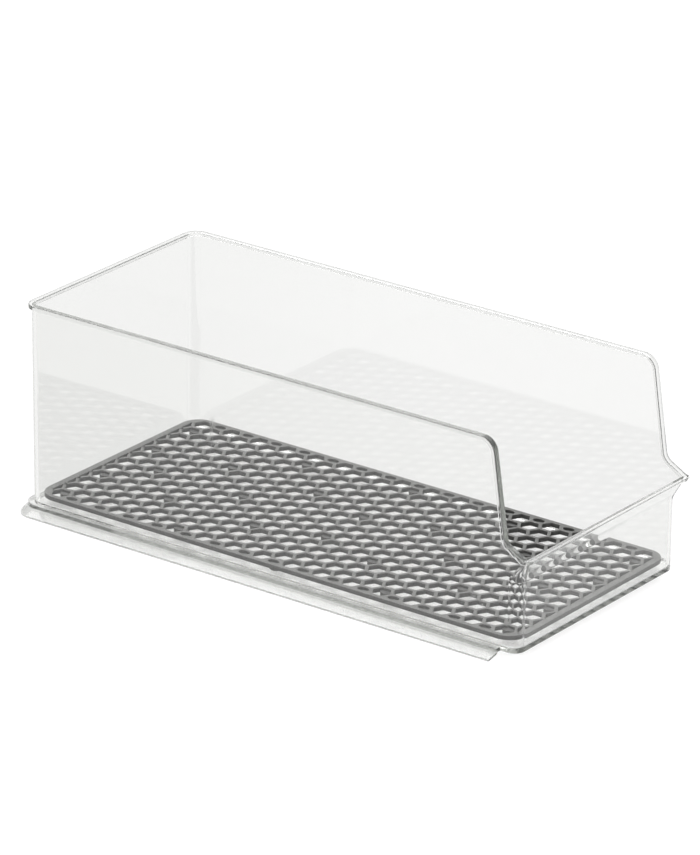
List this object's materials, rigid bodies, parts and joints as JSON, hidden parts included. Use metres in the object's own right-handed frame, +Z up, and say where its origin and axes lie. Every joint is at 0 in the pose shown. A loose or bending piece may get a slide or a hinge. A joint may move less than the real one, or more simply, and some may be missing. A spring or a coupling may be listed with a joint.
{
  "type": "refrigerator bin",
  "caption": "Clear open-front refrigerator storage bin with a stacking flange and a lift-out honeycomb drainage mat.",
  "frame": {"origin": "on the surface the bin stands on, under the middle of its bounding box", "axes": "+Z up, X across the bin, Y along its length with the low open front at -Y and the full-height back at +Y"},
  "size_m": [0.1584, 0.3208, 0.1135],
  "materials": {
    "clear_plastic": "clear, polished",
    "grey_plastic": "mid grey, satin"
  },
  "bodies": {
    "bin": {"bin_shell": "clear_plastic"},
    "mat": {"honeycomb_mat": "grey_plastic"}
  },
  "joints": [
    {"name": "mat_lift", "type": "slide", "parent": "bin", "child": "mat", "axis": [0, 0, 1], "range_m": [0, 0.16]}
  ]
}
